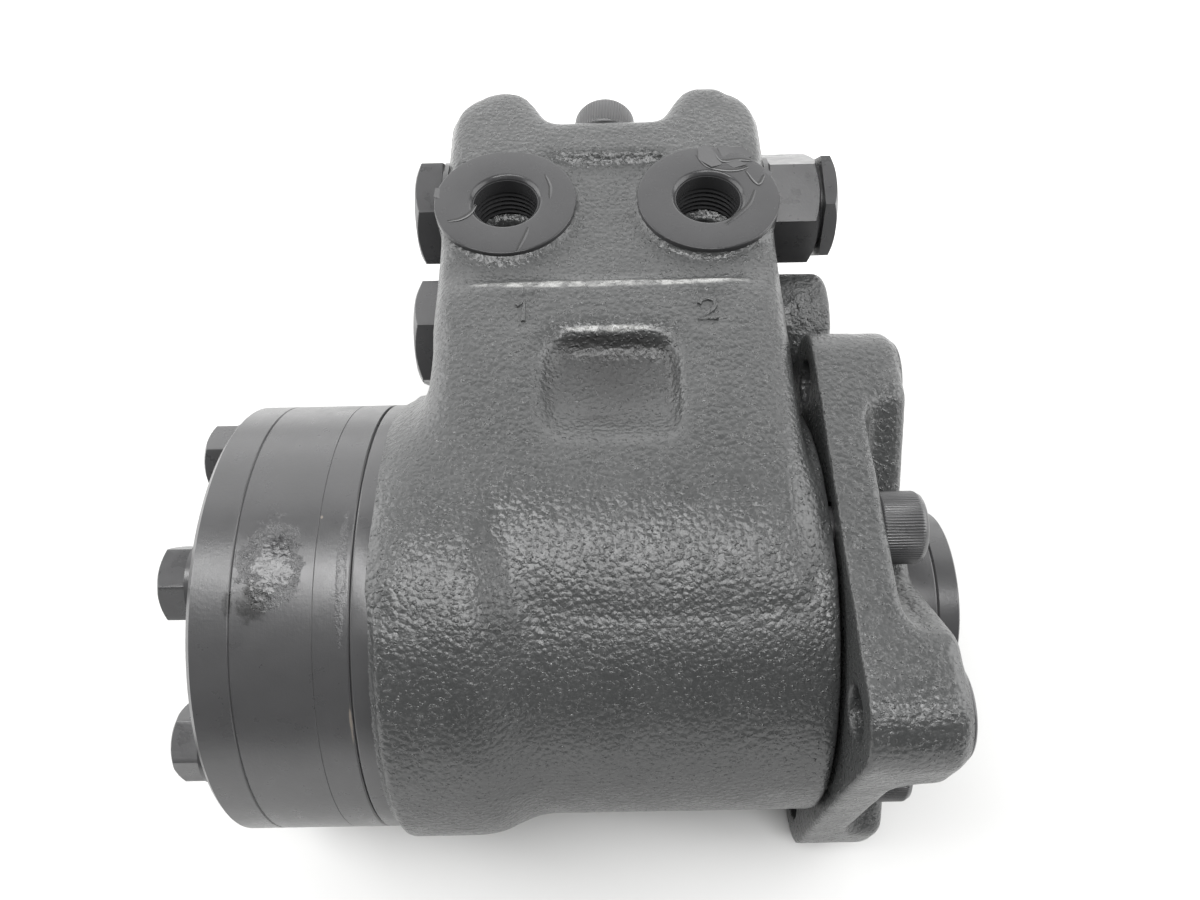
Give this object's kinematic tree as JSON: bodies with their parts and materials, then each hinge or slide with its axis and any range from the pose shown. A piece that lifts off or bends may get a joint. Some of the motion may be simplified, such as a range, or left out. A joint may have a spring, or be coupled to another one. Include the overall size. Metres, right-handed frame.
{
  "type": "orbital steering unit",
  "caption": "Orbital steering unit: round gear set, rotary valve in a cast housing with a ported head, and a square lug flange for the steering column.",
  "frame": {"origin": "on the input axis, in the plane of the mounting lugs' faces", "axes": "+X out along the input axis towards the steering column, +Z towards the work ports, +Y towards the free end of the port head"},
  "size_m": [0.176, 0.1887, 0.1092],
  "materials": {
    "cast_black": "semi-gloss black paint over a grained iron casting",
    "machined_black": "satin black paint over turned steel",
    "fastener_black": "satin black paint over steel fasteners",
    "ground_steel": "ground and hardened steel, oiled",
    "spring_steel": "blued spring steel",
    "seal_rubber": "matt black nitrile rubber"
  },
  "bodies": {
    "root": {"housing": "cast_black", "distributor_plate": "machined_black", "gear_ring": "machined_black", "end_cover": "machined_black", "end_cover_screws": "fastener_black", "end_cover_washers": "fastener_black", "gear_set_seals": "seal_rubber", "mounting_flange": "cast_black", "flange_screws": "fastener_black", "flange_seal": "seal_rubber", "shaft_seal": "seal_rubber", "dust_seal_retainer": "machined_black", "dust_seal": "seal_rubber", "bearing_outer_race": "ground_steel", "upper_bore_plug": "fastener_black", "lower_bore_plug": "fastener_black", "plug_washers": "fastener_black", "relief_cartridge": "fastener_black", "relief_locknut": "fastener_black", "relief_adjuster": "fastener_black", "relief_spring": "spring_steel", "priority_spring": "spring_steel", "gallery_plug": "fastener_black", "check_seat": "ground_steel", "check_stop": "ground_steel"},
    "sleeve": {"control_sleeve": "ground_steel", "cross_pin": "ground_steel", "neutral_springs": "spring_steel", "spring_keeper": "spring_steel", "bearing_inner_race": "ground_steel"},
    "spool": {"control_spool": "ground_steel"},
    "orbit": {"spacer_disc": "ground_steel"},
    "rotor": {"rotor": "ground_steel"},
    "cardan": {"cardan_shaft": "ground_steel"},
    "cage": {"needle_cage": "ground_steel", "bearing_needles": "ground_steel"},
    "priority": {"priority_spool": "ground_steel"},
    "poppet": {"relief_poppet": "ground_steel"},
    "ball": {"check_ball": "ground_steel"}
  },
  "joints": [
    {"name": "sleeve_turn", "type": "hinge", "parent": "root", "child": "sleeve", "pos_m": [-0.07, 0, 0], "axis": [1, 0, 0], "continuous": true},
    {"name": "rotor_orbit", "type": "hinge", "parent": "root", "child": "orbit", "pos_m": [-0.1465, 0, 0], "axis": [1, 0, 0], "continuous": true},
    {"name": "rotor_spin", "type": "hinge", "parent": "orbit", "child": "rotor", "pos_m": [-0.1361, -0.00275, -0.00012], "axis": [1, 0, 0], "continuous": true},
    {"name": "cardan_spin", "type": "hinge", "parent": "orbit", "child": "cardan", "pos_m": [-0.07, 0, 0], "axis": [0.9991, 0.0415, 0.0017], "continuous": true},
    {"name": "needle_cage_roll", "type": "hinge", "parent": "root", "child": "cage", "pos_m": [-0.03505, 0, 0], "axis": [1, 0, 0], "continuous": true},
    {"name": "spool_lag", "type": "hinge", "parent": "sleeve", "child": "spool", "pos_m": [-0.07, 0, 0], "axis": [1, 0, 0], "range_deg": [-8, 8], "stiffness_Nm_per_rad": 2, "deforming": ["neutral_springs"]},
    {"name": "priority_slide", "type": "slide", "parent": "root", "child": "priority", "axis": [-1, 0, 0], "range_m": [0, 0.006], "stiffness_N_per_m": 3000, "springref_m": -0.004, "deforming": ["priority_spring"]},
    {"name": "relief_lift", "type": "slide", "parent": "root", "child": "poppet", "axis": [1, 0, 0], "range_m": [0, 0.0015], "stiffness_N_per_m": 2000, "springref_m": -0.003, "deforming": ["relief_spring"]},
    {"name": "check_ball_lift", "type": "slide", "parent": "root", "child": "ball", "axis": [0, 0, 1], "range_m": [0, 0.003]}
  ],
  "couplings": [
    {"joint": "rotor_orbit", "follows": "sleeve_turn", "ratio": -6},
    {"joint": "rotor_spin", "follows": "sleeve_turn", "ratio": 7},
    {"joint": "cardan_spin", "follows": "sleeve_turn", "ratio": 7},
    {"joint": "needle_cage_roll", "follows": "sleeve_turn", "ratio": 0.5}
  ]
}
